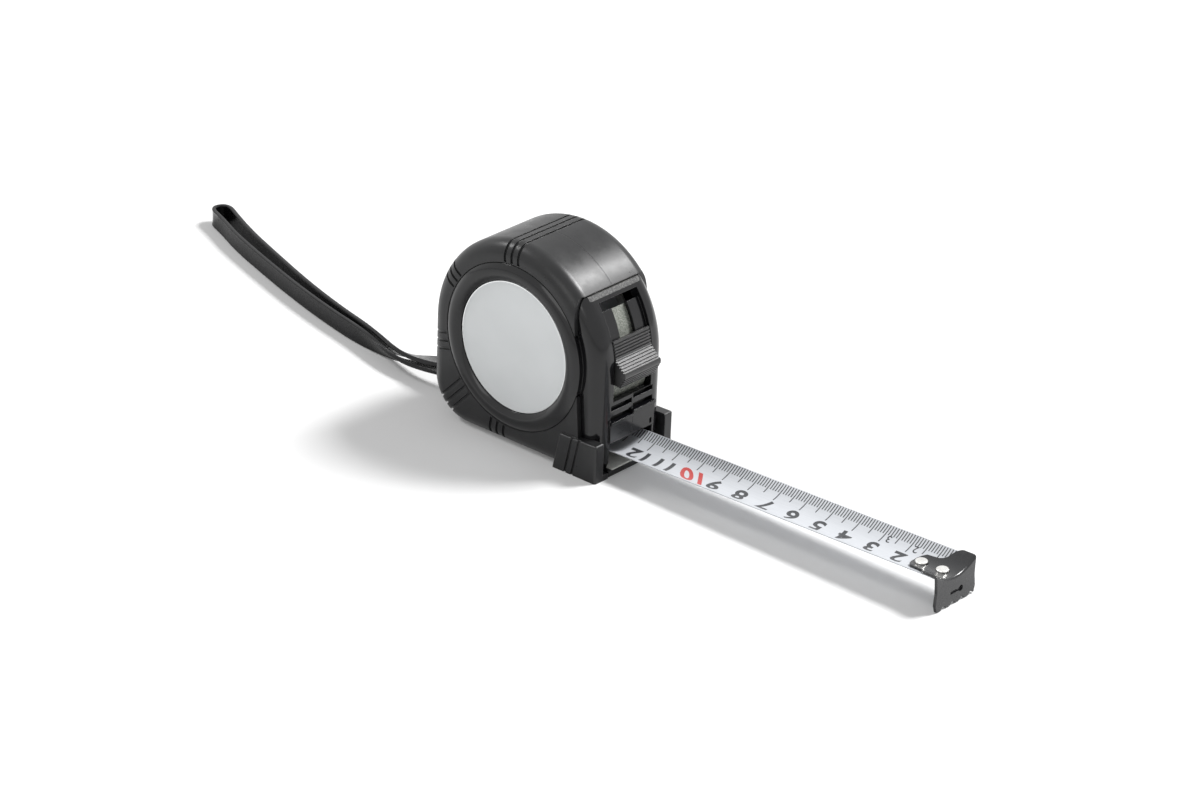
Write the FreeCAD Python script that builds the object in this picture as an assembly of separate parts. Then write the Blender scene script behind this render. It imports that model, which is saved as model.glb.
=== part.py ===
"""Pocket tape measure, 5 m by 19 mm, with the blade pulled out 12 cm.

Millimetres, +Z up, +X towards the hook. The origin is on the base plane, under the spool's axis and
midway between the two sides. "Right" pieces are on the -Y side and "left" pieces on the +Y side.
"""
import FreeCAD
import Part
import math
import os
from FreeCAD import Vector

# Body
axle_height = 34.0        # spool axis above the base
body_radius = 34.3        # jacket outline round the spool axis
body_width = 34.0         # over the sides of the two jackets
heel_radius = 14.4        # lower rear corner of the outline
shoulder_radius = 5.0     # rounding between a side and the band
jacket_wall = 1.9
jacket_fit = 0.05         # gap between the jackets and the shells under them
shell_wall = 1.6
nose_width = 30.6         # shell in front of the jackets
nose_radius = 5.0         # rounding between the nose's cheeks and its front

# Line where the jackets end and the nose begins, seen from the side
nose_top = (24.2, 57.4)
nose_foot_x = 29.0
jacket_gap = 0.35         # gap between jacket edge and nose

# Grooves in the jackets: groups of three, at these angles round the spool axis
groove_angles = (93.0, 148.0, 194.0, 226.0, 259.0)
groove_count = 3
groove_pitch = 2.7
groove_width = 0.95
groove_depth = 0.6

# Front feet, part of the jackets
foot_rear_x = body_radius - 16.0
foot_rake = 2.6           # how far the foot's rear edge leans forward
foot_front_x = body_radius + 1.7
foot_height = 12.4
foot_width = 36.2         # over the outer faces of the two feet
foot_thickness = 3.7
foot_shelf_depth = 2.4
foot_shelf_height = 1.9

# Raised ring and disc on each side
ring_radius = 27.3
ring_crest = 1.1          # how far the ring stands out of the jacket's side
ring_opening_gap = 0.2    # between the ring and the jacket's round opening
disc_radius = 21.5
disc_thickness = 0.5
disc_recess = 0.8         # from the jacket's side down to the disc's seat
disc_clearance = 0.1

# Blade
blade_width = 19.0
blade_sag = 3.3           # depth of the blade's hollow cross-section
blade_thickness = 0.2
blade_out = 123.6         # end of the print, measured from the front of the nose
blade_rise_deg = 1.5      # the blade climbs from the mouth to the hook
blade_mouth_height = 4.7  # underside of the blade's middle at the front of the nose
blade_start_back = 13.5   # the straight blade begins this far behind the front of the nose

# Mouth
mouth_width = 20.2
mouth_top = 10.8
mouth_floor = 2.2
mouth_depth = 6.5
mouth_plate_thickness = 0.5
lip_length = 1.7          # lower lip in front of the nose
guide_pin_radius = 0.9
guide_pin_clearance = 0.3 # from the pin to the mouth's top

# Front panel and its slots, stepped by half_step between the two shells
panel_thickness = 0.6
panel_top = 17.0
ledge_height = 1.0
ledge_depth = 1.1
bar_height = 1.9
slot_depth = 1.6
panel_slot_height = 1.6
half_step = 1.2

# Lock track in the nose
track_width = 17.6
track_bottom = 24.4
track_top = 55.2
track_depth_radius = 29.5
rail_outer_radius = 33.0
rail_thickness = 1.1
rail_gap = 7.2            # slot between the two rails
rail_bottom_deg = 16.8
rail_top_deg = 33.5
channel_top = 56.0
channel_bottom = 10.9

# Lock strip, knob and brake pad; angles are about the spool axis, up from the front
strip_radius = 31.0
strip_thickness = 0.6
strip_width = 15.2
strip_top_deg = 33.0
strip_bottom_deg = -40.0
strip_play = 0.3
plate_radius = 33.3
plate_top_deg = 3.5
plate_bottom_deg = -23.0
plate_width = 16.4
knob_top_deg = 17.0
knob_flat_deg = 7.3
knob_bottom_deg = -6.8
knob_flat_radius = 34.5
knob_tip = (38.2, 34.2)
knob_width = 16.6
knob_foot_play = 0.4
rib_pitch = 0.98
rib_depth = 0.5
rib_gap = 0.46
pad_bottom_deg = -53.5
pad_inner_radius = 29.8
pad_outer_radius = 32.0
pad_width = 11.0

# Hook and rivets, along the blade from its printed zero
hook_thickness = 0.8
hook_tab_length = 13.6
hook_tab_width = 8.4
hook_waist_width = 9.0
hook_waist_back = 8.6     # from the printed zero back to where the plate starts to widen
hook_shoulder_back = 2.4  # and to where it is at its full width
hook_bend = 0.8           # rounding between plate and tongue
hook_width = 19.0
tongue_gap = 0.9          # printed zero to tongue
tongue_thickness = 1.0
tongue_floor_gap = 0.25
tooth_count = 4
tooth_depth = 0.9
nail_slot = (5.0, 1.0)
nail_slot_depth = 0.6
rivet_radius = 1.2
rivet_head_radius = 2.0
rivet_head_height = 0.7
rivet_places = (-3.2, -10.9)
hook_play = 1.0           # the hook slides by its own tongue's thickness
hook_slot_clearance = 0.06
sheet_gap = 0.04          # between blade and hook plate
blade_end_gap = 0.3       # the steel stops short of the printed zero

# Spool
post_radius = 2.5
bearing_radius = 6.0
bearing_clearance = 0.05
drum_radius = 17.0
drum_wall = 1.2
flange_radius = 25.4
flange_thickness = 1.0
flange_play = 0.3         # blade edge to flange
coil_gap = 0.05           # between the drum and the innermost turn
coil_outer_radius = 24.0
coil_turns = 8
coil_strip = 0.5
spring_outer_radius = 15.0
spring_turns = 7
spring_strip = 0.5
spring_width = 16.4
lead_gap = 0.5            # between the wound blade and the lead

# Case screws from the left side: x, z
screw_places = [
    (29.2 * math.cos(math.radians(58)), axle_height + 29.2 * math.sin(math.radians(58))),
    (29.2 * math.cos(math.radians(128)), axle_height + 29.2 * math.sin(math.radians(128))),
    (-18.0, 5.4),
    (3.5, 4.6),
]
screw_radius = 0.9
screw_head_radius = 1.7
screw_head_height = 1.2
screw_boss_radius = 2.0
screw_length = 19.0

# Belt clip on the left side
clip_width = 12.0
clip_thickness = 1.0
clip_top = 51.0
clip_base_bottom = 27.0
clip_bend_radius = 2.4
clip_lean = 1.6           # the leg leans towards the body
clip_leg_bottom = 15.5
clip_tip_drop = 3.6
clip_tip_flare = 1.9
clip_screw_radius = 1.5
clip_screw_head_radius = 3.2
clip_screw_head_height = 1.3
clip_screw_length = 9.0

# Strap pin, its pocket and the wrist strap
strap_pin_x = -29.5
strap_pin_height = 8.5
strap_pin_radius = 1.2
pocket_front_x = -26.4
pocket_width = 9.2
pocket_height = 9.4
pocket_wall = 1.5
strap_radius = 1.5
strap_points = [
    (-29.5, 0.0, 11.4), (-36.5, 0.0, 10.9), (-47.0, 0.3, 8.9), (-59.7, 4.3, 5.8),
    (-75.6, 7.1, 3.8), (-95.5, 10.3, 3.3), (-119.3, 16.2, 3.3), (-145.0, 25.6, 3.3),
    (-162.0, 32.4, 3.3), (-175.5, 38.6, 3.3), (-185.6, 43.9, 3.3), (-188.4, 37.5, 3.3),
    (-178.2, 33.9, 3.3), (-164.5, 27.4, 3.3), (-147.0, 20.8, 3.3), (-120.7, 12.0, 3.3),
    (-96.5, 6.0, 3.3), (-76.4, 2.9, 3.3), (-60.3, 0.2, 3.5), (-47.5, -0.4, 4.6),
    (-36.5, 0.0, 5.3), (-29.5, 0.0, 5.6),
]

# Worked out from the sizes above
shell_half = body_width / 2 - jacket_wall
cavity_half = shell_half - shell_wall
screw_head_seat = shell_half - 0.4
seat_half = body_width / 2 - disc_recess
clip_screw_end = seat_half + clip_thickness - clip_screw_length
track_half = track_width / 2
flange_inner = blade_width / 2 + flange_play
flange_outer = flange_inner + flange_thickness
lip_front_x = body_radius + lip_length
reach = 80.0              # larger than the body, for cutting blocks


def block(x0, x1, y0, y1, z0, z1):
    """Box between two corners."""
    return Part.makeBox(x1 - x0, y1 - y0, z1 - z0, Vector(x0, y0, z0))


def round_bar(radius, y0, y1, x=0.0, z=axle_height):
    """Cylinder along Y."""
    return Part.makeCylinder(radius, y1 - y0, Vector(x, y0, z), Vector(0, 1, 0))


def polar(radius, degrees):
    """Point in the XZ plane at a radius and angle about the spool axis."""
    turn = math.radians(degrees)
    return Vector(radius * math.cos(turn), 0, axle_height + radius * math.sin(turn))


def arc(radius, start, end):
    """Arc about the spool axis, in degrees up from the front."""
    return Part.Arc(polar(radius, start), polar(radius, (start + end) / 2), polar(radius, end)).toShape()


def across(face, y0, y1):
    """Extrude a face in the XZ plane between two Y positions."""
    placed = face.copy()
    placed.translate(Vector(0, y0, 0))
    return placed.extrude(Vector(0, y1 - y0, 0))


def prism(points, y0, y1):
    """Extrude a polygon of (x, z) points across the body."""
    corners = [Vector(x, 0, z) for x, z in points]
    return across(Part.Face(Part.makePolygon(corners + corners[:1])), y0, y1)


def sector(inner, outer, start, end, half):
    """Part of a ring about the spool axis, centred on the middle plane."""
    edges = [
        arc(inner, start, end),
        Part.makeLine(polar(inner, end), polar(outer, end)),
        arc(outer, end, start),
        Part.makeLine(polar(outer, start), polar(inner, start)),
    ]
    return across(Part.Face(Part.Wire(edges)), -half, half)


def outline(inset):
    """The body's side view, inset from the jacket's outer surface."""
    radius = body_radius - inset
    heel = heel_radius - inset
    heel_x = heel_radius - body_radius
    low = heel / math.sqrt(2)
    return Part.Face(Part.Wire([
        Part.makeLine(Vector(radius, 0, inset), Vector(radius, 0, axle_height)),
        arc(radius, 0, 180),
        Part.makeLine(Vector(-radius, 0, axle_height), Vector(-radius, 0, heel_radius)),
        Part.Arc(Vector(-radius, 0, heel_radius), Vector(heel_x - low, 0, heel_radius - low),
                 Vector(heel_x, 0, inset)).toShape(),
        Part.makeLine(Vector(heel_x, 0, inset), Vector(radius, 0, inset)),
    ]))


def rounded_body(inset, half, rounding):
    """Outline given its width, with both side edges rounded."""
    solid = across(outline(inset), -half, half)
    rims = [edge for edge in solid.Edges
            if all(abs(abs(vertex.Point.y) - half) < 1e-6 for vertex in edge.Vertexes)]
    return solid.makeFillet(rounding, rims)


def body(inset):
    """The whole body, inset all round from the jacket's outer surface."""
    return rounded_body(inset, body_width / 2 - inset, shoulder_radius - inset)


def nose_region(gap):
    """All that lies in front of the jackets' front edge."""
    top_x, top_z = nose_top
    return prism([(top_x - gap, top_z + gap), (nose_foot_x - gap, -1.0), (reach, -1.0),
                  (reach, top_z + gap)], -reach, reach)


def side_half(solid, side):
    """The part of a solid on one side of the middle plane; side is -1 right, +1 left."""
    low, high = (-reach, 0) if side < 0 else (0, reach)
    return solid.common(block(-2 * reach, 2 * reach, low, high, -reach, 2 * reach))


def ring_and_seat(side):
    """Raised ring round the disc and the floor that the disc is glued to."""
    seat = disc_radius + disc_clearance
    base = shell_half - 0.5
    face = body_width / 2
    middle = (seat + ring_radius) / 2
    profile = [
        Part.makeLine(Vector(0, base, 0), Vector(ring_radius, base, 0)),
        Part.makeLine(Vector(ring_radius, base, 0), Vector(ring_radius, face, 0)),
        Part.Arc(Vector(ring_radius, face, 0), Vector(middle, face + ring_crest, 0),
                 Vector(seat, face, 0)).toShape(),
        Part.makeLine(Vector(seat, face, 0), Vector(seat, seat_half, 0)),
        Part.makeLine(Vector(seat, seat_half, 0), Vector(0, seat_half, 0)),
        Part.makeLine(Vector(0, seat_half, 0), Vector(0, base, 0)),
    ]
    ring = Part.Face(Part.Wire(profile)).revolve(Vector(0, 0, 0), Vector(0, 1, 0), 360)
    if side < 0:
        ring.rotate(Vector(0, 0, 0), Vector(1, 0, 0), 180)
    ring.translate(Vector(0, 0, axle_height))
    return ring


def mouth_cut():
    """Opening that the blade comes out of."""
    half = mouth_width / 2
    return block(body_radius - mouth_depth, reach, -half, half, mouth_floor, mouth_top)


def track_cut():
    """Pocket for the knob, and the curved channel that the strip slides in."""
    pocket = block(20, reach, -track_half, track_half, track_bottom, track_top)
    pocket = pocket.cut(round_bar(track_depth_radius, -track_half, track_half))
    channel = sector(strip_radius - strip_play, plate_radius + strip_play, -47, 47, track_half)
    channel = channel.common(block(15, reach, -reach, reach, channel_bottom, channel_top))
    return pocket.fuse(channel)


def rails():
    """Two curved rails beside the slot that the knob's foot slides in."""
    inner = rail_outer_radius - rail_thickness
    both = sector(inner, rail_outer_radius, rail_bottom_deg, rail_top_deg, track_half + 0.4)
    return both.cut(sector(inner - 1, rail_outer_radius + 1, rail_bottom_deg - 1, rail_top_deg + 1,
                           rail_gap / 2))


def front_panel(side):
    """Raised panel over the mouth, its ledge, and the bar between two slots."""
    rise = half_step if side > 0 else 0.0
    top = panel_top + rise
    half = nose_width / 2 - nose_radius
    low, high = (-half, 0) if side < 0 else (0, half)
    face = body_radius
    panel = block(face - 1, face + panel_thickness, low, high, mouth_top, top)
    ledge = block(face - 1, face + ledge_depth, low, high, top, top + ledge_height)
    slots = []
    slot = top + ledge_height
    for bottom in (slot, slot + panel_slot_height + bar_height):
        height = min(panel_slot_height, track_bottom - bottom)
        if height > 0.2:
            slots.append(block(face - slot_depth, reach, low + 0.6, high - 0.6 * (side > 0), bottom,
                               bottom + height))
    return panel.fuse(ledge), slots


def strap_pocket(wall):
    """Space round the strap pin at the back, or with a wall, the box that holds it."""
    half_y = pocket_width / 2 + wall
    half_z = pocket_height / 2 + wall
    back = -reach if wall == 0 else strap_pin_x - 3.0
    return block(back, pocket_front_x + wall, -half_y, half_y, strap_pin_height - half_z,
                 strap_pin_height + half_z)


def screw_hole(place, radius, y0, y1):
    """Hole or shank of one case screw."""
    return round_bar(radius, y0, y1, place[0], place[1])


def whole_shell():
    """Both shells in one, before they are parted."""
    core = body(jacket_wall)
    nose = rounded_body(0, nose_width / 2, nose_radius).common(nose_region(0))
    solid = core.fuse(nose)
    for side in (-1, 1):
        solid = solid.fuse(ring_and_seat(side))
    solid = solid.cut(body(jacket_wall + shell_wall))
    inside = []
    for side in (-1, 1):
        bearing = round_bar(bearing_radius, flange_inner - 0.6, cavity_half + 0.5)
        if side < 0:
            bearing.rotate(Vector(0, 0, axle_height), Vector(1, 0, 0), 180)
        inside.append(bearing)
    for place in screw_places:
        inside.append(screw_hole(place, screw_boss_radius, -cavity_half - 0.5, cavity_half + 0.5))
    inside.append(strap_pocket(pocket_wall))
    core_space = body(jacket_wall + 0.2)
    for piece in inside:
        solid = solid.fuse(piece.common(core_space))
    solid = solid.cut(track_cut()).cut(mouth_cut()).fuse(rails())
    for side in (-1, 1):
        panel, slots = front_panel(side)
        solid = solid.fuse(panel)
        for slot in slots:
            solid = solid.cut(slot)
    lip_half = mouth_width / 2 + 1.6
    lip = block(body_radius - mouth_depth, lip_front_x - 0.1, -lip_half, lip_half, 0.3, mouth_floor)
    solid = solid.fuse(lip.common(nose_region(0)))
    solid = solid.cut(strap_pocket(0)).cut(strap_pin()).cut(guide_pin())
    solid = solid.cut(round_bar(post_radius, -cavity_half, cavity_half))
    for place in screw_places:
        solid = solid.cut(screw_hole(place, screw_radius, screw_head_seat - screw_length,
                                     screw_head_seat))
        solid = solid.cut(screw_hole(place, screw_head_radius, screw_head_seat, reach))
    solid = solid.cut(round_bar(clip_screw_radius, cavity_half - 0.5, reach))
    panel_notch = block(body_radius - 0.4, reach, 8.2, 9.1, 11.6, 13.3)
    return solid.cut(panel_notch)


def foot(side):
    """Front foot of one jacket, with a low shelf that points at the mouth."""
    outer = foot_width / 2
    rear = foot_rear_x
    profile = [(rear, 0), (rear + foot_rake, foot_height), (foot_front_x, foot_height + 0.4),
               (foot_front_x, 0)]
    solid = prism(profile, outer - foot_thickness, outer)
    corners = [edge for edge in solid.Edges
               if any(vertex.Point.y > outer - 0.01 for vertex in edge.Vertexes)
               and min(vertex.Point.z for vertex in edge.Vertexes) > -0.01
               and max(vertex.Point.z for vertex in edge.Vertexes) > 0.01]
    solid = solid.makeFillet(0.7, corners)
    shelf_inner = outer - foot_thickness - foot_shelf_depth
    solid = solid.fuse(block(body_radius - 3, foot_front_x, shelf_inner, outer - foot_thickness + 0.1, 0,
                             foot_shelf_height))
    for offset in (4.6, 7.4):
        x = rear + offset
        rake = foot_rake / foot_height
        line = [(x, -1), (x + rake * (foot_height + 2), foot_height + 1),
                (x + 0.9 + rake * (foot_height + 2), foot_height + 1), (x + 0.9, -1)]
        solid = solid.cut(prism(line, outer - 0.5, outer + 1))
    if side < 0:
        solid = solid.mirror(Vector(0, 0, 0), Vector(0, 1, 0))
    return solid


def groove_blades():
    """Thin radial slabs that cut the grooves."""
    slabs = []
    for angle in groove_angles:
        middle = (groove_count - 1) / 2
        for number in range(groove_count):
            offset = (number - middle) * groove_pitch
            slab = block(ring_radius + 0.4, reach, -reach, reach, offset - groove_width / 2,
                         offset + groove_width / 2)
            slab.rotate(Vector(0, 0, 0), Vector(0, 1, 0), -angle)
            slab.translate(Vector(0, 0, axle_height))
            slabs.append(slab)
    return slabs


def whole_jacket(shell_space):
    """Both rubber jackets in one, before they are parted."""
    outer = body(0)
    skin = outer.cut(body(groove_depth))
    solid = outer.cut(body(jacket_wall - jacket_fit)).cut(nose_region(jacket_gap))
    for slab in groove_blades():
        solid = solid.cut(slab.common(skin))
    for side in (-1, 1):
        solid = solid.fuse(foot(side))
    solid = solid.cut(round_bar(ring_radius + ring_opening_gap, -reach, reach))
    solid = solid.cut(shell_space).cut(strap_pocket(0))
    for place in screw_places:
        solid = solid.cut(screw_hole(place, screw_head_radius + 0.1, 0, reach))
    return solid


def disc():
    """Silver disc, glued into the ring's recess on the right side."""
    plate = round_bar(disc_radius, -seat_half - disc_thickness, -seat_half)
    rim = [edge for edge in plate.Edges if edge.BoundBox.YMax < -seat_half - disc_thickness + 0.01]
    return plate.makeFillet(0.15, rim)


def strap_pin():
    """Steel pin that the wrist strap goes round."""
    return round_bar(strap_pin_radius, -pocket_width / 2 - 1.0, pocket_width / 2 + 1.0, strap_pin_x,
                     strap_pin_height)


def guide_pin():
    """Steel pin over the blade in the mouth."""
    half = mouth_width / 2 + 1.4
    height = mouth_top - guide_pin_clearance - guide_pin_radius + 0.8
    return round_bar(guide_pin_radius, -half, half, body_radius - 1.6, height)


def mouth_plate():
    """Pale wear plate on the mouth's floor."""
    half = mouth_width / 2 - 0.1
    return block(body_radius - mouth_depth + 0.1, lip_front_x, -half, half, mouth_floor,
                 mouth_floor + mouth_plate_thickness)


def centre_post():
    """Fixed post that carries the inner end of the spring."""
    post = round_bar(post_radius, -cavity_half, cavity_half)
    post = post.cut(block(-reach, reach, -spring_width / 2, spring_width / 2, axle_height - 0.4,
                          axle_height + 0.4))
    post = post.fuse(round_bar(post_radius - 0.9, -spring_width / 2, spring_width / 2))
    return post.cut(round_bar(clip_screw_radius, clip_screw_end, cavity_half + 1))


def strip_spiral(inner, outer, turns, strip, half):
    """Wound strip, made of half-turn arcs."""
    step = (outer - inner - strip) / (2 * turns)

    def side_edges(extra):
        edges = []
        for number in range(2 * turns):
            centre = 0.0 if number % 2 == 0 else step
            radius = inner + extra + number * step
            sign = 1 if number % 2 == 0 else -1
            start = Vector(centre + sign * radius, 0, axle_height)
            top = Vector(centre, 0, axle_height + sign * radius)
            end = Vector(centre - sign * radius, 0, axle_height)
            edges.append(Part.Arc(start, top, end).toShape())
        return edges

    near = side_edges(0)
    far = side_edges(strip)
    start = Part.makeLine(near[0].valueAt(near[0].FirstParameter), far[0].valueAt(far[0].FirstParameter))
    end = Part.makeLine(near[-1].valueAt(near[-1].LastParameter), far[-1].valueAt(far[-1].LastParameter))
    wire = Part.Wire(Part.__sortEdges__(near + far + [start, end]))
    return across(Part.Face(wire), -half, half)


def spool_flange(side):
    """One side of the spool, with the hole that turns on the shell's bearing."""
    low, high = (flange_inner, flange_outer) if side > 0 else (-flange_outer, -flange_inner)
    return round_bar(flange_radius, low, high)


def spool_drum():
    """Right flange and the hub that the blade is wound on."""
    hub = round_bar(drum_radius, -flange_inner, flange_inner)
    hub = hub.cut(round_bar(drum_radius - drum_wall, -flange_inner, flange_inner))
    solid = spool_flange(-1).fuse(hub)
    return solid.cut(round_bar(bearing_radius + bearing_clearance, -reach, 0))


def spool_cover():
    """Left flange."""
    return spool_flange(1).cut(round_bar(bearing_radius + bearing_clearance, 0, reach))


def blade_coil():
    """The wound part of the blade."""
    return strip_spiral(drum_radius + coil_gap, coil_outer_radius, coil_turns, coil_strip, blade_width / 2)


def mainspring():
    """Flat spiral return spring inside the drum."""
    return strip_spiral(post_radius + 0.4, spring_outer_radius, spring_turns, spring_strip,
                        spring_width / 2)


def along_blade(solid):
    """Place a solid made in the blade's own frame: X along it, from the front of the nose."""
    placed = solid.copy()
    placed.rotate(Vector(0, 0, 0), Vector(0, 1, 0), -blade_rise_deg)
    placed.translate(Vector(body_radius, 0, blade_mouth_height))
    return placed


def blade_section(x, thickness, sag, lift=0.0):
    """Hollow cross-section of the blade as a wire, facing along X."""
    half = blade_width / 2
    low = [Vector(x, -half, lift + sag), Vector(x, 0, lift), Vector(x, half, lift + sag)]
    high = [point + Vector(0, 0, thickness) for point in low]
    return Part.Wire([
        Part.Arc(low[0], low[1], low[2]).toShape(),
        Part.makeLine(low[2], high[2]),
        Part.Arc(high[2], high[1], high[0]).toShape(),
        Part.makeLine(high[0], low[0]),
    ])


def curved_strip(x0, x1, thickness, lift=0.0):
    """A length of sheet with the blade's hollow section, in the blade's frame."""
    face = Part.Face(blade_section(x0, thickness, blade_sag, lift))
    return face.extrude(Vector(x1 - x0, 0, 0))


def rivet_holes(radius, length=0.0):
    """Round or slotted holes through blade and hook, in the blade's frame."""
    holes = []
    for place in rivet_places:
        centre = blade_out + place
        hole = Part.makeCylinder(radius, 8, Vector(centre, 0, -4))
        if length:
            hole = hole.fuse(Part.makeCylinder(radius, 8, Vector(centre + length, 0, -4)))
            hole = hole.fuse(block(centre, centre + length, -radius, radius, -4, 4))
        holes.append(hole)
    return holes


def blade():
    """The straight, pulled-out part of the blade."""
    strip = curved_strip(-blade_start_back, blade_out - blade_end_gap, blade_thickness)
    for hole in rivet_holes(rivet_radius):
        strip = strip.cut(hole)
    return along_blade(strip)


def blade_lead():
    """The stretch of blade between the coil and the mouth."""
    end = along_blade(blade_section(-blade_start_back, blade_thickness, blade_sag))
    end_x = body_radius - blade_start_back
    end_z = blade_mouth_height - blade_start_back * math.tan(math.radians(blade_rise_deg))
    radius = coil_outer_radius + coil_strip + lead_gap
    distance = math.hypot(end_x, axle_height - end_z)
    lean = math.acos(radius / distance) - math.atan2(end_x, axle_height - end_z)
    start = blade_section(0, blade_thickness, 0.02)
    start.rotate(Vector(0, 0, 0), Vector(0, 1, 0), math.degrees(lean))
    start.translate(Vector(-radius * math.sin(lean), 0, axle_height - radius * math.cos(lean)))
    return Part.makeLoft([start, end], True, True)


def rivets():
    """Two rivets, fixed in the blade."""
    solids = []
    top = blade_thickness + sheet_gap + hook_thickness
    for place in rivet_places:
        x = blade_out + place
        shank = Part.makeCylinder(rivet_radius, top + 0.7, Vector(x, 0, -0.5))
        head = Part.makeCylinder(rivet_head_radius, rivet_head_height, Vector(x, 0, top + 0.12))
        rim = [edge for edge in head.Edges if edge.BoundBox.ZMin > top + rivet_head_height]
        head = head.makeFillet(rivet_head_height * 0.8, rim)
        foot_disc = Part.makeCylinder(rivet_head_radius * 0.8, 0.5, Vector(x, 0, -0.55))
        solids.append(along_blade(shank.fuse(head).fuse(foot_disc)))
    return Part.makeCompound(solids)


def hook_plan():
    """Outline of the hook's plate seen from above, as a tall block in the blade's frame."""
    tip = blade_out - hook_tab_length
    tab = hook_tab_width / 2
    waist = hook_waist_width / 2
    wide = hook_width / 2
    front = blade_out + tongue_gap + tongue_thickness
    waist_x = blade_out - hook_waist_back
    shoulder_x = blade_out - hook_shoulder_back
    middle_x = (waist_x + shoulder_x) / 2
    middle_y = (waist + wide) / 2

    def side(sign):
        return [
            Part.Arc(Vector(tip, 0, 0), Vector(tip + 0.45, sign * 0.62 * tab, 0),
                     Vector(tip + 1.7, sign * tab, 0)).toShape(),
            Part.makeLine(Vector(tip + 1.7, sign * tab, 0), Vector(waist_x, sign * waist, 0)),
            Part.Arc(Vector(waist_x, sign * waist, 0),
                     Vector((waist_x + middle_x) / 2 + 0.35, sign * (waist + 0.3 * (middle_y - waist)), 0),
                     Vector(middle_x, sign * middle_y, 0)).toShape(),
            Part.Arc(Vector(middle_x, sign * middle_y, 0),
                     Vector((middle_x + shoulder_x) / 2 - 0.35, sign * (middle_y + 0.7 * (wide - middle_y)), 0),
                     Vector(shoulder_x, sign * wide, 0)).toShape(),
            Part.makeLine(Vector(shoulder_x, sign * wide, 0), Vector(front, sign * wide, 0)),
        ]

    edges = side(1) + side(-1) + [Part.makeLine(Vector(front, wide, 0), Vector(front, -wide, 0))]
    face = Part.Face(Part.Wire(Part.__sortEdges__(edges)))
    face.translate(Vector(0, 0, -2))
    return face.extrude(Vector(0, 0, 12))


def hook():
    """Steel end hook: hollow plate, tongue with teeth and a nail slot."""
    lift = blade_thickness + sheet_gap
    inner = blade_out + tongue_gap
    outer = inner + tongue_thickness
    plate = curved_strip(blade_out - hook_tab_length - 1, outer, hook_thickness, lift)
    plate = plate.common(hook_plan())
    for hole in rivet_holes(rivet_radius + hook_slot_clearance, hook_play):
        plate = plate.cut(hole)
    rise = math.radians(blade_rise_deg)
    bottom = tongue_floor_gap - blade_mouth_height - outer * math.sin(rise)
    half = hook_width / 2
    bow = (blade_width ** 2 / 4 + blade_sag ** 2) / (2 * blade_sag)
    side_rise = bow - math.sqrt(bow ** 2 - half ** 2)
    low = [Vector(inner, -half, lift + side_rise), Vector(inner, 0, lift),
           Vector(inner, half, lift + side_rise)]
    thick = Vector(0, 0, hook_thickness)
    edges = [Part.Arc(low[2] + thick, low[1] + thick, low[0] + thick).toShape()]
    points = [low[0] + thick, Vector(inner, -half + 0.4, -1.5), Vector(inner, -half - 0.1, bottom + 2.2),
              Vector(inner, -half + 0.6, bottom)]
    pitch = (hook_width - 1.2) / tooth_count
    for number in range(tooth_count):
        left = -half + 0.6 + number * pitch
        points.append(Vector(inner, left + 0.45 * pitch, bottom))
        points.append(Vector(inner, left + 0.6 * pitch, bottom + tooth_depth))
        points.append(Vector(inner, left + 0.85 * pitch, bottom + tooth_depth))
        points.append(Vector(inner, left + pitch, bottom))
    points += [Vector(inner, half + 0.1, bottom + 2.2), Vector(inner, half - 0.4, -1.5), low[2] + thick]
    edges += [Part.makeLine(points[i], points[i + 1]) for i in range(len(points) - 1)]
    tongue = Part.Face(Part.Wire(edges)).extrude(Vector(tongue_thickness, 0, 0))
    slot_length, slot_height = nail_slot
    slot_z = bottom + 3.4
    slot_back = outer - nail_slot_depth
    tongue = tongue.cut(block(slot_back, outer + 1, -slot_length / 2, slot_length / 2, slot_z,
                              slot_z + slot_height))
    tongue = tongue.cut(Part.makeCylinder(1.0, 4, Vector(slot_back, slot_length / 2, slot_z + 0.5),
                                          Vector(1, 0, 0)))
    solid = plate.fuse(tongue).removeSplitter()
    top = lift + hook_thickness
    bend = [edge for edge in solid.Edges
            if edge.BoundBox.XMin > outer - 0.01 and edge.BoundBox.YLength > 0.8 * hook_width
            and edge.BoundBox.ZMin > top - 0.1]
    return along_blade(solid.makeFillet(hook_bend, bend))


def lock_strip():
    """Flexible strip under the rails, with the wider plate under the knob."""
    strip = sector(strip_radius, strip_radius + strip_thickness, strip_bottom_deg, strip_top_deg,
                   strip_width / 2)
    plate = sector(strip_radius + strip_thickness, plate_radius, plate_bottom_deg, plate_top_deg,
                   plate_width / 2)
    return strip.fuse(plate)


def thumb_lock():
    """Ribbed knob on the lock strip."""
    tip_x, tip_z = knob_tip
    high = Vector(tip_x - 0.25, 0, tip_z + 0.9)
    low = Vector(tip_x, 0, tip_z - 0.9)
    under = polar(knob_flat_radius + 2.2, knob_bottom_deg)
    flat_end = polar(knob_flat_radius, knob_flat_deg)
    edges = [
        arc(plate_radius, knob_bottom_deg, knob_top_deg),
        Part.makeLine(polar(plate_radius, knob_top_deg), polar(knob_flat_radius, knob_top_deg)),
        arc(knob_flat_radius, knob_top_deg, knob_flat_deg),
        Part.makeLine(flat_end, high),
        Part.Arc(high, Vector(tip_x + 0.12, 0, tip_z), low).toShape(),
        Part.makeLine(low, under),
        Part.makeLine(under, polar(plate_radius, knob_bottom_deg)),
    ]
    knob = across(Part.Face(Part.Wire(edges)), -knob_width / 2, knob_width / 2)
    for cut in rib_cuts(flat_end, high, low, under):
        knob = knob.cut(cut)
    foot_half = rail_gap / 2 - knob_foot_play
    return knob.fuse(sector(strip_radius + strip_thickness, plate_radius, plate_top_deg, knob_top_deg - 1,
                            foot_half))


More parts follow.
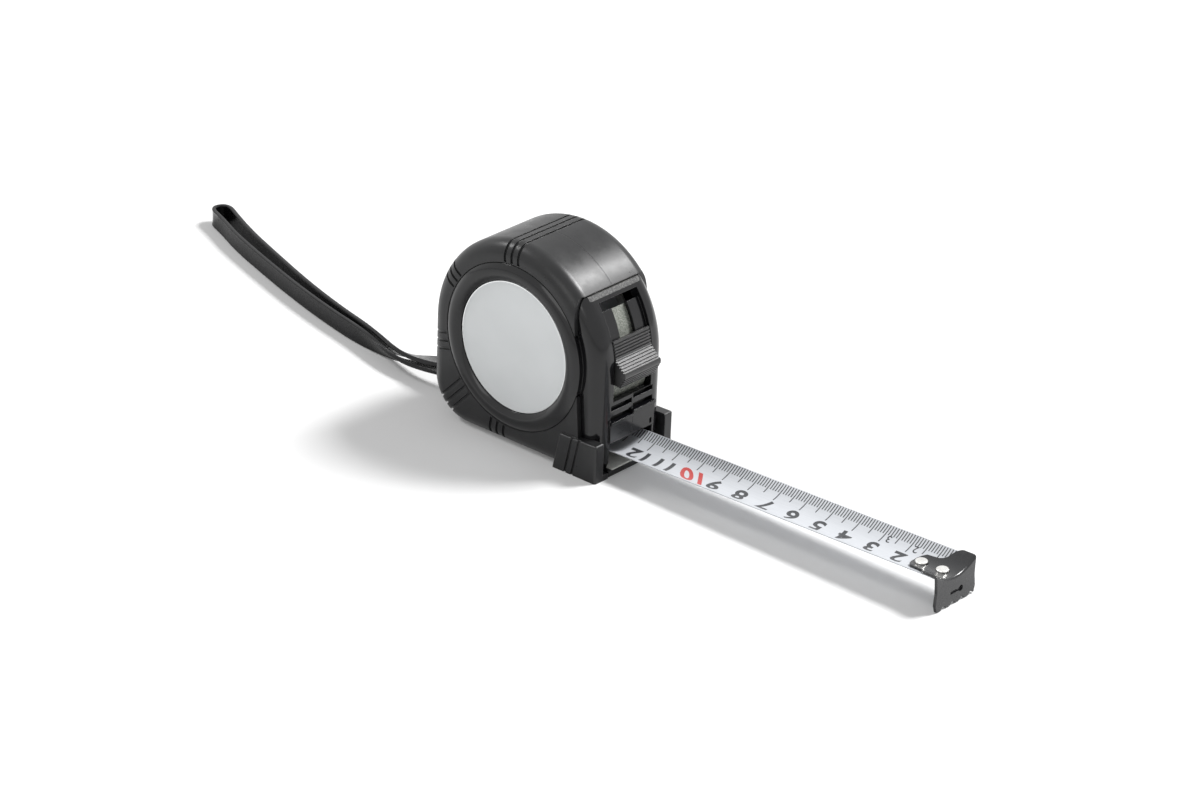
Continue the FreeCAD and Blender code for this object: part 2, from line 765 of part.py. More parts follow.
def rib_cuts(flat_end, high, low, under):
    """Grooves between the knob's ribs: on its flat, up its slope, and under its tip."""
    cuts = []

    def cut_at(point, direction):
        notch = block(-rib_depth, 3, -reach, reach, -rib_gap / 2, rib_gap / 2)
        notch.rotate(Vector(0, 0, 0), Vector(0, 1, 0), -direction)
        notch.translate(point)
        cuts.append(notch)

    step = math.degrees(rib_pitch / knob_flat_radius)
    count = int((knob_top_deg - knob_flat_deg) / step)
    for number in range(1, count + 1):
        angle = knob_top_deg - number * step
        cut_at(polar(knob_flat_radius, angle), angle)
    for start, end in ((flat_end, high), (low, under)):
        length = (end - start).Length
        along = (end - start) * (1 / length)
        direction = math.degrees(math.atan2(along.x, -along.z))
        amount = int(length / rib_pitch)
        for number in range(amount):
            cut_at(start + along * ((number + 0.5) * length / amount), direction)
    return cuts


def brake_pad():
    """Rubber pad at the strip's lower end, over the blade."""
    return sector(pad_inner_radius, pad_outer_radius, pad_bottom_deg, strip_bottom_deg, pad_width / 2)


def case_screws():
    """Four screws from the left side."""
    solids = []
    for place in screw_places:
        shank = screw_hole(place, screw_radius, screw_head_seat - screw_length, screw_head_seat)
        head = screw_hole(place, screw_head_radius, screw_head_seat, screw_head_seat + screw_head_height)
        screw = shank.fuse(head)
        x, z = place
        top = screw_head_seat + screw_head_height
        for wide, tall in ((1.1, 0.2), (0.2, 1.1)):
            screw = screw.cut(block(x - wide, x + wide, top - 0.7, top + 1, z - tall, z + tall))
        solids.append(screw)
    return Part.makeCompound(solids)


def belt_clip():
    """Spring steel clip: base on the left shell, bend at the top, leg outside."""
    middle = seat_half + clip_thickness / 2
    bend = clip_bend_radius + clip_thickness / 2
    leg = middle + 2 * bend
    start = Vector(0, middle, clip_base_bottom)
    bend_in = Vector(0, middle, clip_top)
    bend_out = Vector(0, leg, clip_top)
    leg_end = Vector(0, leg - clip_lean, clip_leg_bottom)
    tip = Vector(0, leg - clip_lean + clip_tip_flare, clip_leg_bottom - clip_tip_drop)
    path = Part.Wire([
        Part.makeLine(start, bend_in),
        Part.Arc(bend_in, Vector(0, middle + bend, clip_top + bend), bend_out).toShape(),
        Part.makeLine(bend_out, leg_end),
        Part.makeLine(leg_end, tip),
    ])
    half = clip_width / 2
    thick = clip_thickness / 2
    inner = middle - thick
    outer = middle + thick
    corners = [Vector(-half, inner, clip_base_bottom), Vector(half, inner, clip_base_bottom),
               Vector(half, outer, clip_base_bottom), Vector(-half, outer, clip_base_bottom)]
    section = Part.makePolygon(corners + corners[:1])
    strip = path.makePipeShell([section], True, False, 1)
    return strip.cut(round_bar(clip_screw_radius, 0, seat_half + clip_thickness))


def clip_screw():
    """Screw through the clip into the centre post."""
    seat = seat_half + clip_thickness
    head = round_bar(clip_screw_head_radius, seat, seat + clip_screw_head_height)
    rim = [edge for edge in head.Edges if edge.BoundBox.YMin > seat + 0.5]
    head = head.makeFillet(0.8, rim)
    screw = head.fuse(round_bar(clip_screw_radius, clip_screw_end, seat))
    for wide, tall in ((2.0, 0.35), (0.35, 2.0)):
        screw = screw.cut(block(-wide, wide, seat + 0.5, seat + 3, axle_height - tall, axle_height + tall))
    return screw


def wrist_strap():
    """Strap as a tube along straight runs joined by tangent arcs; it prints radii and volume."""
    points = [Vector(*point) for point in strap_points]
    edges = []
    last = points[0]
    radii = []
    for before, corner, after in zip(points, points[1:], points[2:]):
        arrive = (corner - before).normalize()
        leave = (after - corner).normalize()
        turn = arrive.getAngle(leave)
        setback = 0.45 * min((corner - before).Length, (after - corner).Length)
        radii.append(setback / math.tan(turn / 2))
        start = corner - arrive * setback
        end = corner + leave * setback
        inward = (leave - arrive).normalize()
        middle = corner + inward * (radii[-1] * (1 / math.cos(turn / 2) - 1))
        edges.append(Part.makeLine(last, start))
        edges.append(Part.Arc(start, middle, end).toShape())
        last = end
    edges.append(Part.makeLine(last, points[-1]))
    path = Part.Wire(edges)
    ring = Part.Wire(Part.makeCircle(strap_radius, points[0], points[1] - points[0]))
    tube = path.makePipeShell([ring], True, False)
    expected = math.pi * strap_radius ** 2 * path.Length
    print("strap length", round(path.Length, 1), "smallest radius", round(min(radii), 2), "radii",
          [round(radius, 1) for radius in radii], "volume ratio", round(tube.Volume / expected, 4))
    return tube


def main():
    os.makedirs("parts", exist_ok=True)
    shell = whole_shell()
    shell_space = body(jacket_wall).fuse(rounded_body(0, nose_width / 2, nose_radius)
                                         .common(nose_region(0)))
    jacket = whole_jacket(shell_space)
    nodes = {
        "right_shell": side_half(shell, -1),
        "left_shell": side_half(shell, 1),
        "right_jacket": side_half(jacket, -1),
        "left_jacket": side_half(jacket, 1),
        "silver_disc": disc(),
        "mouth_plate": mouth_plate(),
        "guide_pin": guide_pin(),
        "strap_pin": strap_pin(),
        "centre_post": centre_post(),
        "case_screws": case_screws(),
        "belt_clip": belt_clip(),
        "clip_screw": clip_screw(),
        "spool_drum": spool_drum(),
        "spool_cover": spool_cover(),
        "blade_coil": blade_coil(),
        "mainspring": mainspring(),
        "blade_lead": blade_lead(),
        "blade": blade(),
        "hook_rivets": rivets(),
        "end_hook": hook(),
        "lock_strip": lock_strip(),
        "thumb_lock": thumb_lock(),
        "brake_pad": brake_pad(),
        "wrist_strap": wrist_strap(),
    }
    for name, shape in nodes.items():
        shape.exportStep("parts/" + name + ".step")
        print(name, len(shape.Solids), shape.isValid(), round(shape.Volume, 1))


main()
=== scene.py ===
import math

import bmesh
import bpy
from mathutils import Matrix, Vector


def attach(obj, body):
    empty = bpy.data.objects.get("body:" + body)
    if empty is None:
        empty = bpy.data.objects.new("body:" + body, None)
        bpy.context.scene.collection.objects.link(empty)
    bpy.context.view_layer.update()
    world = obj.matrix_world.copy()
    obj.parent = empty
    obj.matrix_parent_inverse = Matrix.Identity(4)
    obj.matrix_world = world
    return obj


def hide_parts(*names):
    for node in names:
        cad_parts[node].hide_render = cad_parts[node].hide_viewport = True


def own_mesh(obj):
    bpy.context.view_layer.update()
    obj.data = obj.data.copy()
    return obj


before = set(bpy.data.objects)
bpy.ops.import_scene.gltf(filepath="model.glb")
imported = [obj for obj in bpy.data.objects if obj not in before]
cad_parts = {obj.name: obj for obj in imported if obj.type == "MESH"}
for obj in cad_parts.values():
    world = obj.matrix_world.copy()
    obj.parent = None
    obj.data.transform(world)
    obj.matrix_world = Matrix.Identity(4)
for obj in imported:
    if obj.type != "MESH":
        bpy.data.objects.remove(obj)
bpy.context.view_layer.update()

bpy.ops.object.select_all(action="DESELECT")

# Metres. Sizes that the part's source gives in millimetres, here in metres.
mm = 0.001
blade_half_width = 9.5 * mm
blade_sag = 3.3 * mm
blade_thickness = 0.2 * mm
blade_bow = (blade_half_width ** 2 + blade_sag ** 2) / (2 * blade_sag)   # radius of its section
blade_origin = Vector((34.3 * mm, 0, 4.7 * mm))
blade_rise = math.radians(1.5)
blade_back = -13.5 * mm
blade_front = 123.3 * mm
printed_zero = 124.5 * mm

# Points of the strap's line: out of the case, round the loop's end and back under itself.
strap_route = [
    (-0.0295, 0.0, 0.0108), (-0.0365, 0.0, 0.0101), (-0.0470, -0.0008, 0.0078),
    (-0.0597, -0.0004, 0.0052), (-0.0756, 0.0036, 0.0037), (-0.0955, 0.0084, 0.0033),
    (-0.1193, 0.0154, 0.0033), (-0.1450, 0.0248, 0.0033), (-0.1620, 0.0312, 0.0033),
    (-0.1745, 0.0370, 0.0033), (-0.1842, 0.0419, 0.0033), (-0.1868, 0.0357, 0.0033),
    (-0.1772, 0.0321, 0.0033), (-0.1645, 0.0262, 0.0033), (-0.1470, 0.0200, 0.0033),
    (-0.1207, 0.0114, 0.0033), (-0.0965, 0.0050, 0.0033), (-0.0764, 0.0012, 0.0033),
    (-0.0603, -0.0022, 0.0038), (-0.0475, -0.0016, 0.0054), (-0.0365, 0.0, 0.0068),
    (-0.0295, 0.0, 0.0072),
]


# Camera

bpy.ops.object.camera_add(
    location=(0.789143, -0.911960, 0.604316),
    rotation=(math.radians(63.85184), math.radians(-2.03589), math.radians(41.08969)))
camera = bpy.context.object
camera.name = "view_camera"
camera.data.lens = 129.08
camera.data.sensor_width = 36.0
camera.data.clip_start = 0.05
bpy.context.scene.camera = camera
camera.select_set(False)


# Tools

def material(name, colour, roughness, metallic=0.0, specular=0.5):
    """A finish with its shader, ready for the nodes that give it its texture."""
    made = bpy.data.materials.new(name)
    made.use_nodes = True
    shader = made.node_tree.nodes["Principled BSDF"]
    shader.inputs["Base Color"].default_value = (*colour, 1)
    shader.inputs["Roughness"].default_value = roughness
    shader.inputs["Metallic"].default_value = metallic
    shader.inputs["Specular IOR Level"].default_value = specular
    return made, shader


def node(made, kind, **inputs):
    """One node of a material, with its inputs set by name."""
    new = made.node_tree.nodes.new(kind)
    for name, value in inputs.items():
        new.inputs[name.replace("_", " ")].default_value = value
    return new


def place_on_object(made):
    """Where a texture reads its place: the object's own coordinates."""
    return made.node_tree.nodes.new("ShaderNodeTexCoord").outputs["Object"]


def noise(made, place, size, detail=4.0, roughness=0.6):
    """Noise whose features are about size metres across."""
    new = node(made, "ShaderNodeTexNoise", Scale=1 / size, Detail=detail, Roughness=roughness)
    made.node_tree.links.new(place, new.inputs["Vector"])
    return new.outputs["Fac"]


def spread(made, value, low, high, from_low=0.3, from_high=0.7):
    """Stretch a noise value between two numbers."""
    new = node(made, "ShaderNodeMapRange")
    new.inputs["From Min"].default_value = from_low
    new.inputs["From Max"].default_value = from_high
    new.inputs["To Min"].default_value = low
    new.inputs["To Max"].default_value = high
    made.node_tree.links.new(value, new.inputs["Value"])
    return new.outputs["Result"]


def blend_colours(made, value, first, second):
    """A colour between two, by value; each is a colour or another node's output."""
    new = made.node_tree.nodes.new("ShaderNodeMix")
    new.data_type = "RGBA"
    made.node_tree.links.new(value, new.inputs["Factor"])
    for socket, colour in ((new.inputs[6], first), (new.inputs[7], second)):
        if isinstance(colour, tuple):
            socket.default_value = (*colour, 1)
        else:
            made.node_tree.links.new(colour, socket)
    return new.outputs[2]


def soft_edges(made, shader, radius, height=None, depth=0.0):
    """Rounds the look of sharp edges, with an optional grain over it."""
    edge = node(made, "ShaderNodeBevel", Radius=radius)
    edge.samples = 4
    normal = edge.outputs["Normal"]
    if height is not None:
        bump = node(made, "ShaderNodeBump", Strength=1.0, Distance=depth)
        made.node_tree.links.new(height, bump.inputs["Height"])
        made.node_tree.links.new(normal, bump.inputs["Normal"])
        normal = bump.outputs["Normal"]
    made.node_tree.links.new(normal, shader.inputs["Normal"])


def grain(made, shader, height, depth):
    """Bump alone, for pieces whose edges are already round."""
    bump = node(made, "ShaderNodeBump", Strength=1.0, Distance=depth)
    made.node_tree.links.new(height, bump.inputs["Height"])
    made.node_tree.links.new(bump.outputs["Normal"], shader.inputs["Normal"])


def link(made, output, shader, name):
    made.node_tree.links.new(output, shader.inputs[name])


# Finishes

def jacket_rubber():
    """Soft charcoal rubber: fine moulded grain, a little uneven in tone and sheen."""
    made, shader = material("jacket_rubber", (0.018, 0.018, 0.019), 0.34, specular=0.38)
    place = place_on_object(made)
    tone = spread(made, noise(made, place, 9 * mm, 3), 0, 1)
    link(made, blend_colours(made, tone, (0.0115, 0.0117, 0.0125), (0.0175, 0.0177, 0.0185)), shader,
         "Base Color")
    link(made, spread(made, noise(made, place, 4 * mm, 5), 0.27, 0.38), shader, "Roughness")
    soft_edges(made, shader, 0.35 * mm, noise(made, place, 0.28 * mm, 2), 0.008 * mm)
    return made


def glossy_shell():
    """Polished black plastic, with the rough speckled strip along the top of the recess."""
    made, shader = material("glossy_shell", (0.005, 0.005, 0.006), 0.14, specular=0.45)
    place = place_on_object(made)
    parts = made.node_tree.nodes.new("ShaderNodeSeparateXYZ")
    made.node_tree.links.new(place, parts.inputs[0])

    def beyond(value, limit, kind="GREATER_THAN"):
        test = made.node_tree.nodes.new("ShaderNodeMath")
        test.operation = kind
        made.node_tree.links.new(value, test.inputs[0])
        test.inputs[1].default_value = limit
        return test.outputs[0]

    def both(first, second):
        product = made.node_tree.nodes.new("ShaderNodeMath")
        product.operation = "MULTIPLY"
        made.node_tree.links.new(first, product.inputs[0])
        made.node_tree.links.new(second, product.inputs[1])
        return product.outputs[0]

    aside = made.node_tree.nodes.new("ShaderNodeMath")
    aside.operation = "ABSOLUTE"
    made.node_tree.links.new(parts.outputs["Y"], aside.inputs[0])
    strip = both(beyond(parts.outputs["Z"], 56.2 * mm), beyond(parts.outputs["X"], 24.4 * mm))
    strip = both(strip, beyond(aside.outputs[0], 11.6 * mm, "LESS_THAN"))
    speck = spread(made, noise(made, place, 0.5 * mm, 3), 0, 1, 0.45, 0.62)
    rough_strip = blend_colours(made, speck, (0.03, 0.03, 0.031), (0.13, 0.13, 0.125))
    tone = spread(made, noise(made, place, 12 * mm, 3), 0, 1)
    polish = blend_colours(made, tone, (0.0025, 0.0025, 0.0033), (0.0055, 0.0055, 0.0065))
    link(made, blend_colours(made, strip, polish, rough_strip), shader, "Base Color")
    polish_roughness = spread(made, noise(made, place, 5 * mm, 6), 0.1, 0.19)
    strip_roughness = spread(made, strip, 0.0, 0.4, 0, 1)
    total = made.node_tree.nodes.new("ShaderNodeMath")
    total.operation = "ADD"
    made.node_tree.links.new(polish_roughness, total.inputs[0])
    made.node_tree.links.new(strip_roughness, total.inputs[1])
    link(made, total.outputs[0], shader, "Roughness")
    soft_edges(made, shader, 0.3 * mm, noise(made, place, 1.6 * mm, 3), 0.01 * mm)
    return made


def silver_face():
    """Satin aluminium disc with a faint turned grain and a polished rim."""
    made, shader = material("silver_face", (0.7, 0.72, 0.725), 0.42, metallic=0.15, specular=0.4)
    place = place_on_object(made)
    centre = node(made, "ShaderNodeMapping", Location=(0, 34 * mm, 0), Rotation=(math.radians(90), 0, 0),
                  Scale=(1, 0, 1))
    made.node_tree.links.new(place, centre.inputs["Vector"])
    away = made.node_tree.nodes.new("ShaderNodeVectorMath")
    away.operation = "LENGTH"
    made.node_tree.links.new(centre.outputs[0], away.inputs[0])
    rim = spread(made, away.outputs["Value"], 0, 1, 21.05 * mm, 21.2 * mm)
    tone = spread(made, noise(made, place, 14 * mm, 2), 0, 1)
    face = blend_colours(made, tone, (0.685, 0.706, 0.712), (0.715, 0.736, 0.742))
    link(made, blend_colours(made, rim, face, (0.86, 0.87, 0.87)), shader, "Base Color")
    link(made, spread(made, rim, 0.15, 1.0, 0, 1), shader, "Metallic")
    rings = node(made, "ShaderNodeTexWave", Scale=1400.0, Distortion=0.6, Detail=2.0)
    rings.wave_type = "RINGS"
    rings.rings_direction = "Z"
    made.node_tree.links.new(centre.outputs[0], rings.inputs["Vector"])
    satin = spread(made, rings.outputs["Fac"], 0.38, 0.46, 0, 1)
    polish = made.node_tree.nodes.new("ShaderNodeMath")
    polish.operation = "SUBTRACT"
    made.node_tree.links.new(satin, polish.inputs[0])
    made.node_tree.links.new(spread(made, rim, 0.0, 0.28, 0, 1), polish.inputs[1])
    link(made, polish.outputs[0], shader, "Roughness")
    grain(made, shader, rings.outputs["Fac"], 0.002 * mm)
    return made


def blade_paint():
    """Silvery white lacquer on spring steel, with fine lengthwise rolling marks."""
    made, shader = material("blade_paint", (0.56, 0.58, 0.61), 0.34, metallic=0.1)
    place = place_on_object(made)
    stretched = node(made, "ShaderNodeMapping", Scale=(0.04, 1, 1))
    made.node_tree.links.new(place, stretched.inputs["Vector"])
    lines = noise(made, stretched.outputs[0], 0.35 * mm, 3)
    link(made, blend_colours(made, spread(made, lines, 0, 1), (0.54, 0.558, 0.588), (0.59, 0.607, 0.634)),
         shader, "Base Color")
    link(made, spread(made, noise(made, place, 3 * mm, 4), 0.28, 0.4), shader, "Roughness")
    grain(made, shader, lines, 0.004 * mm)
    return made


def print_ink(name, colour):
    """Printing ink on the blade, a little thin in places."""
    made, shader = material(name, colour, 0.4)
    place = place_on_object(made)
    wear = spread(made, noise(made, place, 0.5 * mm, 4), 0, 1, 0.35, 0.8)
    paler = tuple(min(1.0, channel + 0.05) for channel in colour)
    link(made, blend_colours(made, wear, colour, paler), shader, "Base Color")
    return made


def hook_lacquer():
    """Thick glossy black lacquer with a slight orange-peel surface."""
    made, shader = material("hook_lacquer", (0.007, 0.0073, 0.009), 0.18, specular=0.4)
    shader.inputs["Coat Weight"].default_value = 0.35
    shader.inputs["Coat Roughness"].default_value = 0.08
    place = place_on_object(made)
    tone = spread(made, noise(made, place, 5 * mm, 3), 0, 1)
    link(made, blend_colours(made, tone, (0.006, 0.0063, 0.0078), (0.0105, 0.011, 0.013)), shader,
         "Base Color")
    link(made, spread(made, noise(made, place, 1.5 * mm, 5), 0.18, 0.34), shader, "Roughness")
    soft_edges(made, shader, 0.22 * mm, noise(made, place, 0.8 * mm, 2), 0.015 * mm)
    return made


def bright_metal(name, colour, roughness, grain_size=0.4 * mm):
    """Plated or polished steel with fine handling marks."""
    made, shader = material(name, colour, roughness, metallic=1.0)
    place = place_on_object(made)
    marks = noise(made, place, grain_size, 6, 0.7)
    link(made, spread(made, marks, roughness * 0.7, roughness * 1.5), shader, "Roughness")
    darker = tuple(channel * 0.82 for channel in colour)
    link(made, blend_colours(made, spread(made, noise(made, place, 3 * mm, 3), 0, 1), darker, colour),
         shader, "Base Color")
    soft_edges(made, shader, 0.15 * mm, marks, 0.003 * mm)
    return made


def speckled_strip():
    """Grey-green recycled plastic with dark and pale specks."""
    made, shader = material("speckled_strip", (0.12, 0.13, 0.11), 0.6)
    place = place_on_object(made)
    dark = spread(made, noise(made, place, 0.35 * mm, 3), 0, 1, 0.42, 0.6)
    pale = spread(made, noise(made, place, 0.8 * mm, 4), 0, 1, 0.55, 0.7)
    ground = blend_colours(made, dark, (0.09, 0.097, 0.084), (0.29, 0.305, 0.27))
    link(made, blend_colours(made, pale, ground, (0.34, 0.35, 0.31)), shader, "Base Color")
    link(made, spread(made, noise(made, place, 1 * mm, 4), 0.5, 0.7), shader, "Roughness")
    soft_edges(made, shader, 0.12 * mm, noise(made, place, 0.3 * mm, 2), 0.01 * mm)
    return made


def plain_plastic(name, low, high, roughness, grain_size, depth, edge=0.15 * mm):
    """Moulded plastic or rubber in two close tones, with a moulded grain."""
    made, shader = material(name, low, roughness)
    place = place_on_object(made)
    link(made, blend_colours(made, spread(made, noise(made, place, 3 * mm, 4), 0, 1), low, high), shader,
         "Base Color")
    link(made, spread(made, noise(made, place, 2 * mm, 5), roughness * 0.85, roughness * 1.15), shader,
         "Roughness")
    soft_edges(made, shader, edge, noise(made, place, grain_size, 3), depth)
    return made


def strap_leatherette():
    """Glossy black leatherette with a fine crease grain along the strap."""
    made, shader = material("strap_leatherette", (0.006, 0.006, 0.007), 0.24, specular=0.24)
    place = place_on_object(made)
    cells = node(made, "ShaderNodeTexVoronoi", Scale=1 / (0.7 * mm))
    cells.feature = "DISTANCE_TO_EDGE"
    made.node_tree.links.new(place, cells.inputs["Vector"])
    tone = spread(made, noise(made, place, 6 * mm, 3), 0, 1)
    link(made, blend_colours(made, tone, (0.0035, 0.0035, 0.0042), (0.007, 0.007, 0.008)), shader,
         "Base Color")
    link(made, spread(made, noise(made, place, 2.5 * mm, 5), 0.18, 0.34), shader, "Roughness")
    grain(made, shader, spread(made, cells.outputs["Distance"], 0, 1, 0, 0.25), 0.01 * mm)
    return made


rubber = jacket_rubber()
shell_black = glossy_shell()
silver = silver_face()
paint = blade_paint()
ink = print_ink("black_ink", (0.02, 0.022, 0.026))
red_ink = print_ink("red_ink", (0.44, 0.03, 0.025))
lacquer = hook_lacquer()
rivet_steel = bright_metal("rivet_steel", (0.95, 0.94, 0.91), 0.22)
pin_steel = bright_metal("pin_steel", (0.35, 0.35, 0.36), 0.35)
clip_chrome = bright_metal("clip_chrome", (0.74, 0.75, 0.77), 0.22)
spring_grey = bright_metal("spring_grey", (0.42, 0.43, 0.46), 0.3)
speckled = speckled_strip()
knob_plastic = plain_plastic("knob_plastic", (0.02, 0.02, 0.021), (0.032, 0.032, 0.032), 0.34,
                             0.25 * mm, 0.01 * mm, 0.12 * mm)
mouth_plastic = plain_plastic("mouth_plastic", (0.62, 0.62, 0.58), (0.74, 0.74, 0.7), 0.45,
                              0.4 * mm, 0.006 * mm)
spool_white = plain_plastic("spool_white", (0.5, 0.5, 0.48), (0.58, 0.58, 0.56), 0.5, 0.5 * mm,
                            0.006 * mm)
pad_rubber = plain_plastic("pad_rubber", (0.02, 0.02, 0.02), (0.032, 0.032, 0.032), 0.75, 0.2 * mm,
                           0.02 * mm)
leatherette = strap_leatherette()

finishes = {
    "right_shell": shell_black, "left_shell": shell_black, "right_jacket": rubber,
    "left_jacket": rubber, "silver_disc": silver, "mouth_plate": mouth_plastic,
    "guide_pin": pin_steel, "strap_pin": pin_steel, "centre_post": pin_steel,
    "case_screws": pin_steel, "belt_clip": clip_chrome, "clip_screw": clip_chrome,
    "spool_drum": spool_white, "spool_cover": spool_white, "blade_coil": paint,
    "mainspring": spring_grey, "blade_lead": paint, "blade": paint, "hook_rivets": rivet_steel,
    "end_hook": lacquer, "lock_strip": speckled, "thumb_lock": knob_plastic,
    "brake_pad": pad_rubber, "wrist_strap": leatherette,
}
for name, finish in finishes.items():
    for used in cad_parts[name].material_slots:
        used.material = finish


# Wrist strap

def strap_line():
    """Points along the strap's smooth line, read from its spline."""
    curve = bpy.data.curves.new("strap_line", "CURVE")
    curve.dimensions = "3D"
    curve.resolution_u = 14
    spline = curve.splines.new("NURBS")
    spline.points.add(len(strap_route) - 1)
    for point, place in zip(spline.points, strap_route):
        point.co = (*place, 1)
    spline.order_u = 3
    spline.use_endpoint_u = True
    line = bpy.data.objects.new("strap_line", curve)
    bpy.context.scene.collection.objects.link(line)
    bpy.context.view_layer.update()
    read = bpy.data.meshes.new_from_object(line)
    points = [vertex.co.copy() for vertex in read.vertices]
    bpy.data.objects.remove(line)
    bpy.data.curves.remove(curve)
    bpy.data.meshes.remove(read)
    return points


def make_strap():
    """Flat band: it lies flat round its pin and twists onto its edge along the floor."""
    line = strap_line()
    lengths = [0.0]
    for before, after in zip(line, line[1:]):
        lengths.append(lengths[-1] + (after - before).length)
    total = lengths[-1]
    half_wide, half_thick, welt = 3.2 * mm, 0.55 * mm, 0.72 * mm
    section = [(-half_wide, 0), (-0.97 * half_wide, 0.75 * welt), (-0.88 * half_wide, welt),
               (-0.76 * half_wide, 0.85 * welt), (-0.68 * half_wide, half_thick), (0, 0.94 * half_thick),
               (0.68 * half_wide, half_thick), (0.76 * half_wide, 0.85 * welt),
               (0.88 * half_wide, welt), (0.97 * half_wide, 0.75 * welt), (half_wide, 0)]
    section += [(across, -up) for across, up in section[-2:0:-1]]
    twist_from, twist_to = 12 * mm, 62 * mm
    mesh = bmesh.new()
    rings = []
    for number, point in enumerate(line):
        before = line[max(number - 1, 0)]
        after = line[min(number + 1, len(line) - 1)]
        along = (after - before).normalized()
        side = Vector((0, 0, 1)).cross(along).normalized()
        top = along.cross(side)
        start = min(max((lengths[number] - twist_from) / (twist_to - twist_from), 0), 1)
        end = min(max((lengths[number] - total + twist_to) / (twist_to - twist_from), 0), 1)
        turn = math.radians(90) * (start * start * (3 - 2 * start) + end * end * (3 - 2 * end))
        wide = side * math.cos(turn) + top * math.sin(turn)
        thick = along.cross(wide)
        rings.append([mesh.verts.new(point + wide * across + thick * up) for across, up in section])
    for first, second in zip(rings, rings[1:]):
        for number in range(len(section)):
            after = (number + 1) % len(section)
            mesh.faces.new((first[number], first[after], second[after], second[number]))
    mesh.faces.new(rings[0][::-1])
    mesh.faces.new(rings[-1])
    bmesh.ops.recalc_face_normals(mesh, faces=mesh.faces)
    data = bpy.data.meshes.new("strap_band")
    mesh.to_mesh(data)
    mesh.free()
    band = bpy.data.objects.new("strap_band", data)
    bpy.context.scene.collection.objects.link(band)
    data.materials.append(leatherette)
    bpy.ops.object.select_all(action="DESELECT")
    band.select_set(True)
    bpy.context.view_layer.objects.active = band
    bpy.ops.object.shade_smooth_by_angle(angle=math.radians(40))
    band.select_set(False)
    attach(band, "case")
    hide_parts("wrist_strap")
    return band


make_strap()


# Blade

def start_edge(name, first, second):
    """A piece in edit mode that is one edge between two places, all selected."""
    bpy.ops.object.select_all(action="DESELECT")
    bpy.ops.mesh.primitive_plane_add(size=1 * mm)
    piece = bpy.context.object
    piece.name = name
    piece.data.name = name
    bpy.ops.object.mode_set(mode="EDIT")
    shape = bmesh.from_edit_mesh(piece.data)
    shape.verts.ensure_lookup_table()
    bpy.ops.mesh.select_all(action="DESELECT")
    corners = sorted(shape.verts, key=lambda corner: corner.co.y)
    for corner in corners[2:]:
        corner.select = True
    shape.select_flush(True)
    bmesh.update_edit_mesh(piece.data)
    bpy.ops.mesh.delete(type="VERT")
    shape = bmesh.from_edit_mesh(piece.data)
    for corner, place in zip(sorted(shape.verts, key=lambda corner: corner.co.x), (first, second)):
        corner.co = place
    bmesh.update_edit_mesh(piece.data)
    bpy.ops.mesh.select_all(action="SELECT")
    return piece


def section_place(along, angle, lift):
    """A place in the blade's own frame, at an angle round its hollow section."""
    radius = blade_bow - lift
    return Vector((along, radius * math.sin(angle), blade_bow - radius * math.cos(angle)))


def curved_sheet(name, back, front, low_angle, high_angle, lift, steps, thickness):
    """A sheet that follows the blade's section, spun from one edge."""
    piece = start_edge(name, section_place(back, low_angle, lift), section_place(front, low_angle, lift))
    bpy.ops.mesh.spin(steps=steps, angle=high_angle - low_angle, center=(0, 0, blade_bow),
                      axis=(-1, 0, 0))
    bpy.ops.mesh.select_all(action="SELECT")
    bpy.ops.mesh.remove_doubles(threshold=0.001 * mm)
    bpy.ops.mesh.normals_make_consistent(inside=False)
    bpy.ops.object.mode_set(mode="OBJECT")
    if piece.data.polygons[0].normal.z < 0:
        piece.data.flip_normals()
    wall = piece.modifiers.new("wall", "SOLIDIFY")
    wall.thickness = thickness
    wall.offset = 1.0
    bpy.ops.object.modifier_apply(modifier="wall")
    return piece


def repeat(piece, count, step):
    """Copies of a piece along the blade."""
    row = piece.modifiers.new("row", "ARRAY")
    row.count = count
    row.use_relative_offset = False
    row.use_constant_offset = True
    row.constant_offset_displace = (step, 0, 0)
    bpy.context.view_layer.objects.active = piece
    bpy.ops.object.modifier_apply(modifier="row")


def set_on_blade(piece, finish):
    """Moves a piece from the blade's own frame to its place, and makes it wind in with the blade."""
    bpy.ops.object.select_all(action="DESELECT")
    piece.select_set(True)
    bpy.context.view_layer.objects.active = piece
    piece.location = blade_origin
    piece.rotation_euler = (0, -blade_rise, 0)
    bpy.ops.object.transform_apply(location=True, rotation=True, scale=True)
    bpy.ops.object.shade_smooth_by_angle(angle=math.radians(30))
    piece.data.materials.clear()
    piece.data.materials.append(finish)
    piece.select_set(False)
    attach(piece, "blade")
    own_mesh(piece)


edge_angle = math.asin(blade_half_width / blade_bow)


def make_blade():
    strip = curved_sheet("blade_strip", blade_back, blade_front, -edge_angle, edge_angle, 0.0, 28,
                         blade_thickness)
    set_on_blade(strip, paint)
    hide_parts("blade")


ink_lift = blade_thickness + 0.006 * mm
ink_thickness = 0.008 * mm
edge_gap = 0.25 * mm        # bare blade between the ticks and its edge
tick_width = 0.36 * mm
digit_slice = 0.5 * mm      # digits are cut across this often, so that they follow the hollow
digit_slices = 12           # to each side of a digit's middle


def tick_row(name, inner, width, first, step, count):
    """One row of ticks from the far edge of the blade down to an inner angle."""
    outer = edge_angle - edge_gap / blade_bow
    piece = curved_sheet(name, first - width / 2, first + width / 2, inner, outer, ink_lift, 6,
                         ink_thickness)
    repeat(piece, count, step)
    return piece


def arc_angle(distance):
    """Angle round the section for a distance across the blade from its middle."""
    return distance / blade_bow


